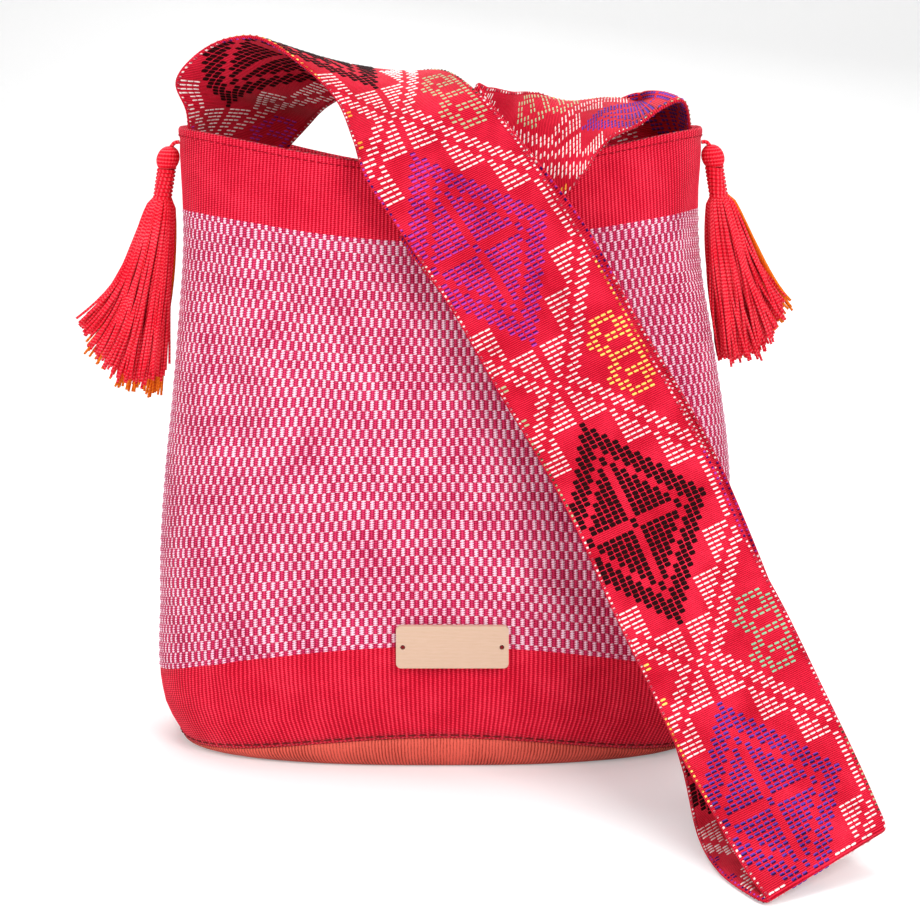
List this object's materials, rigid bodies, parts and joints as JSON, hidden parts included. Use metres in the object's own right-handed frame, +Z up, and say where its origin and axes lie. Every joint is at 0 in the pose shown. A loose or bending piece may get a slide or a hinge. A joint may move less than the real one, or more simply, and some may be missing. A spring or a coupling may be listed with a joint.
{
  "type": "wayuu mochila bag",
  "caption": "Woven shoulder bag with a checked body, ribbed canvas base, wide patterned strap, wooden tag and side tassels.",
  "frame": {"origin": "middle of the flat underside of the base", "axes": "+Z up out of the mouth, -Y towards the front with the wooden tag, X from tassel to tassel"},
  "size_m": [0.3466, 0.3042, 0.3286],
  "materials": {
    "check_cloth": "crimson yarn with raised pale pink checks and plain ribbed red bands",
    "rust_canvas": "ribbed rust canvas",
    "woven_strap": "double-woven red band with purple, dark brown, green, orange and white figures",
    "maple": "bare pale wood, lightly sanded",
    "tag_thread": "dark brown thread",
    "red_yarn": "loose twisted red yarn",
    "orange_yarn": "loose twisted orange yarn"
  },
  "bodies": {
    "bag": {"woven_body": "check_cloth", "base_panel": "rust_canvas", "shoulder_strap": "woven_strap", "wood_tag": "maple", "left_tag_stitch": "tag_thread", "right_tag_stitch": "tag_thread"},
    "left_tassel": {"left_tassel_cord": "red_yarn", "left_tassel_knot": "red_yarn", "left_tassel_wrap": "red_yarn", "left_tassel_strands": "red_yarn", "left_tassel_understrands": "orange_yarn"},
    "right_tassel": {"right_tassel_cord": "red_yarn", "right_tassel_knot": "red_yarn", "right_tassel_wrap": "red_yarn", "right_tassel_strands": "red_yarn", "right_tassel_understrands": "orange_yarn"}
  },
  "joints": [
    {"name": "left_tassel_swing", "type": "hinge", "parent": "bag", "child": "left_tassel", "pos_m": [-0.12005, 0, 0.2804], "axis": [0, 1, 0], "range_deg": [0, 80]},
    {"name": "right_tassel_swing", "type": "hinge", "parent": "bag", "child": "right_tassel", "pos_m": [0.12005, 0, 0.2804], "axis": [0, -1, 0], "range_deg": [0, 80]}
  ]
}
